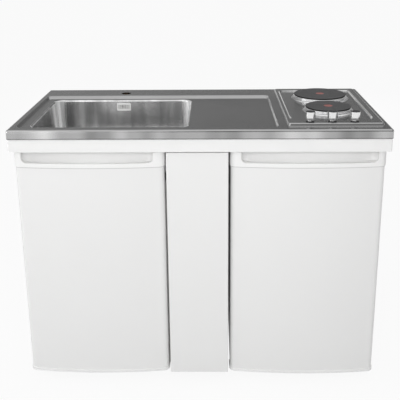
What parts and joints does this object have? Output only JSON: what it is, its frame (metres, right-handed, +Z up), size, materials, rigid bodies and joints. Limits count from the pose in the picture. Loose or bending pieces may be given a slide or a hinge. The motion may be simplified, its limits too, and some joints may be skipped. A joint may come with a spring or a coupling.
{
  "type": "mini kitchen unit",
  "caption": "Free-standing mini kitchen: stainless worktop with pressed sink, drainer and hotplates over a cupboard and a small fridge with bowed doors.",
  "frame": {"origin": "on the floor under the middle of the worktop", "axes": "+X along the worktop from the sink to the hob, +Y from the front to the wall side, +Z up"},
  "size_m": [1.2, 0.6, 0.9415],
  "materials": {
    "stainless_steel": "satin",
    "bright_steel": "polished",
    "knob_metal": "polished",
    "cast_plate": "matte",
    "white_paint": "gloss",
    "white_plastic": "satin",
    "apron_white": "satin",
    "chipboard": "matte",
    "white_board": "satin",
    "plated_steel": "satin",
    "dark_plastic": "matte",
    "grey_plastic": "satin",
    "liner_white": "satin",
    "foam": "matte",
    "shelf_glass": "gloss",
    "clear_plastic": "gloss",
    "evaporator": "satin",
    "seal": "matte",
    "black_enamel": "satin"
  },
  "bodies": {
    "unit": {"worktop": "stainless_steel", "sink_bowl": "stainless_steel", "hob_panel": "stainless_steel", "overflow_grille": "stainless_steel", "sink_waste": "stainless_steel", "front_hotplate_ring": "bright_steel", "rear_hotplate_ring": "bright_steel", "front_hotplate": "cast_plate", "rear_hotplate": "cast_plate", "filler_panel": "white_paint", "fridge_cabinet": "white_paint", "apron_front": "apron_white", "apron_sides": "apron_white", "apron_rear": "apron_white", "support_board": "chipboard", "worktop_bearer": "chipboard", "cupboard_sides": "white_board", "cupboard_bottom": "white_board", "cupboard_back": "white_board", "cupboard_shelf": "white_board", "cupboard_stile": "white_board", "hotplate_clamps": "plated_steel", "hob_tray": "plated_steel", "top_hinges": "plated_steel", "bottom_hinges": "plated_steel", "hob_switches": "dark_plastic", "feet": "dark_plastic", "overflow_pipe": "grey_plastic", "trap_body": "grey_plastic", "trap_cup": "grey_plastic", "waste_pipe": "grey_plastic", "fridge_liner": "liner_white", "thermostat": "liner_white", "fridge_insulation": "foam", "fridge_shelves": "shelf_glass", "crisper": "clear_plastic", "ice_box": "evaporator", "compressor": "black_enamel", "condenser": "black_enamel"},
    "cupboard_door": {"cupboard_door_skin": "white_paint", "cupboard_door_inner": "white_board", "cupboard_door_top_cap": "white_plastic", "cupboard_door_bottom_cap": "white_plastic"},
    "fridge_door": {"fridge_door_skin": "white_paint", "fridge_door_insulation": "foam", "fridge_door_liner": "liner_white", "fridge_door_top_cap": "white_plastic", "fridge_door_bottom_cap": "white_plastic", "fridge_door_gasket": "seal", "fridge_door_racks": "clear_plastic"},
    "rear_plate_control": {"rear_plate_knob": "knob_metal", "rear_plate_shaft": "plated_steel"},
    "front_plate_control": {"front_plate_knob": "knob_metal", "front_plate_shaft": "plated_steel"},
    "timer_control": {"timer_knob": "knob_metal", "timer_shaft": "plated_steel"},
    "thermostat_control": {"thermostat_dial": "grey_plastic"},
    "strainer": {"strainer_basket": "stainless_steel"}
  },
  "joints": [
    {"name": "cupboard_door_swing", "type": "hinge", "parent": "unit", "child": "cupboard_door", "pos_m": [-0.571, -0.258, 0.43], "axis": [0, 0, -1], "range_deg": [0, 110]},
    {"name": "fridge_door_swing", "type": "hinge", "parent": "unit", "child": "fridge_door", "pos_m": [0.571, -0.246, 0.43], "axis": [0, 0, 1], "range_deg": [0, 110]},
    {"name": "rear_plate_turn", "type": "hinge", "parent": "unit", "child": "rear_plate_control", "pos_m": [0.35, -0.234, 0.92], "axis": [0, 0, -1], "range_deg": [0, 270]},
    {"name": "front_plate_turn", "type": "hinge", "parent": "unit", "child": "front_plate_control", "pos_m": [0.42, -0.234, 0.92], "axis": [0, 0, -1], "range_deg": [0, 270]},
    {"name": "timer_turn", "type": "hinge", "parent": "unit", "child": "timer_control", "pos_m": [0.49, -0.234, 0.92], "axis": [0, 0, -1], "range_deg": [0, 330]},
    {"name": "thermostat_turn", "type": "hinge", "parent": "unit", "child": "thermostat_control", "pos_m": [0.525, -0.052, 0.615], "axis": [0, 1, 0], "range_deg": [0, 300]},
    {"name": "strainer_lift", "type": "slide", "parent": "unit", "child": "strainer", "axis": [0, 0, 1], "range_m": [0, 0.25]}
  ]
}
